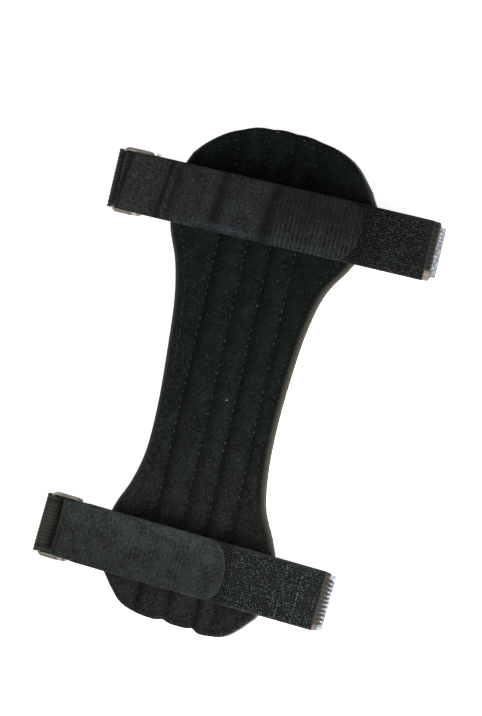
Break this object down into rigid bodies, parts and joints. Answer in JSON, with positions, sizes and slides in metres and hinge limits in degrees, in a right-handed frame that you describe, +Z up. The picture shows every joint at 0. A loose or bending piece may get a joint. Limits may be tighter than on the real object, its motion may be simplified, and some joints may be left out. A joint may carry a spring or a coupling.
{
  "type": "archery arm guard",
  "caption": "Hourglass forearm guard for archery: leather front, quilted soft lining, and two hook-and-loop straps that pull through wire rings on ribbed elastic.",
  "frame": {"origin": "on the flat strip of the outer leather face, midway along the guard, on the middle of the quilted channels", "axes": "+Y along the guard to its wide elbow end, +X to the right of someone looking into the guard with the elbow end away, +Z up from the outer face to the arm side"},
  "size_m": [0.1439, 0.2126, 0.0184],
  "materials": {
    "front_leather": "black grained leather, raw brown-grey cut edge",
    "lining_cloth": "black napped cloth, matt, quilted in three channels",
    "strap_tape": "black hook-and-loop tape, woven back, looped pile and hook patch",
    "ribbed_elastic": "black ribbed woven elastic",
    "ring_metal": "nickel-plated wire, slightly warm"
  },
  "bodies": {
    "root": {"front_panel": "front_leather", "back_lining": "lining_cloth", "upper_strap": "strap_tape", "upper_elastic": "ribbed_elastic", "upper_ring_tab": "ribbed_elastic", "upper_ring": "ring_metal", "lower_strap": "strap_tape", "lower_elastic": "ribbed_elastic", "lower_ring_tab": "ribbed_elastic", "lower_ring": "ring_metal"}
  },
  "joints": []
}
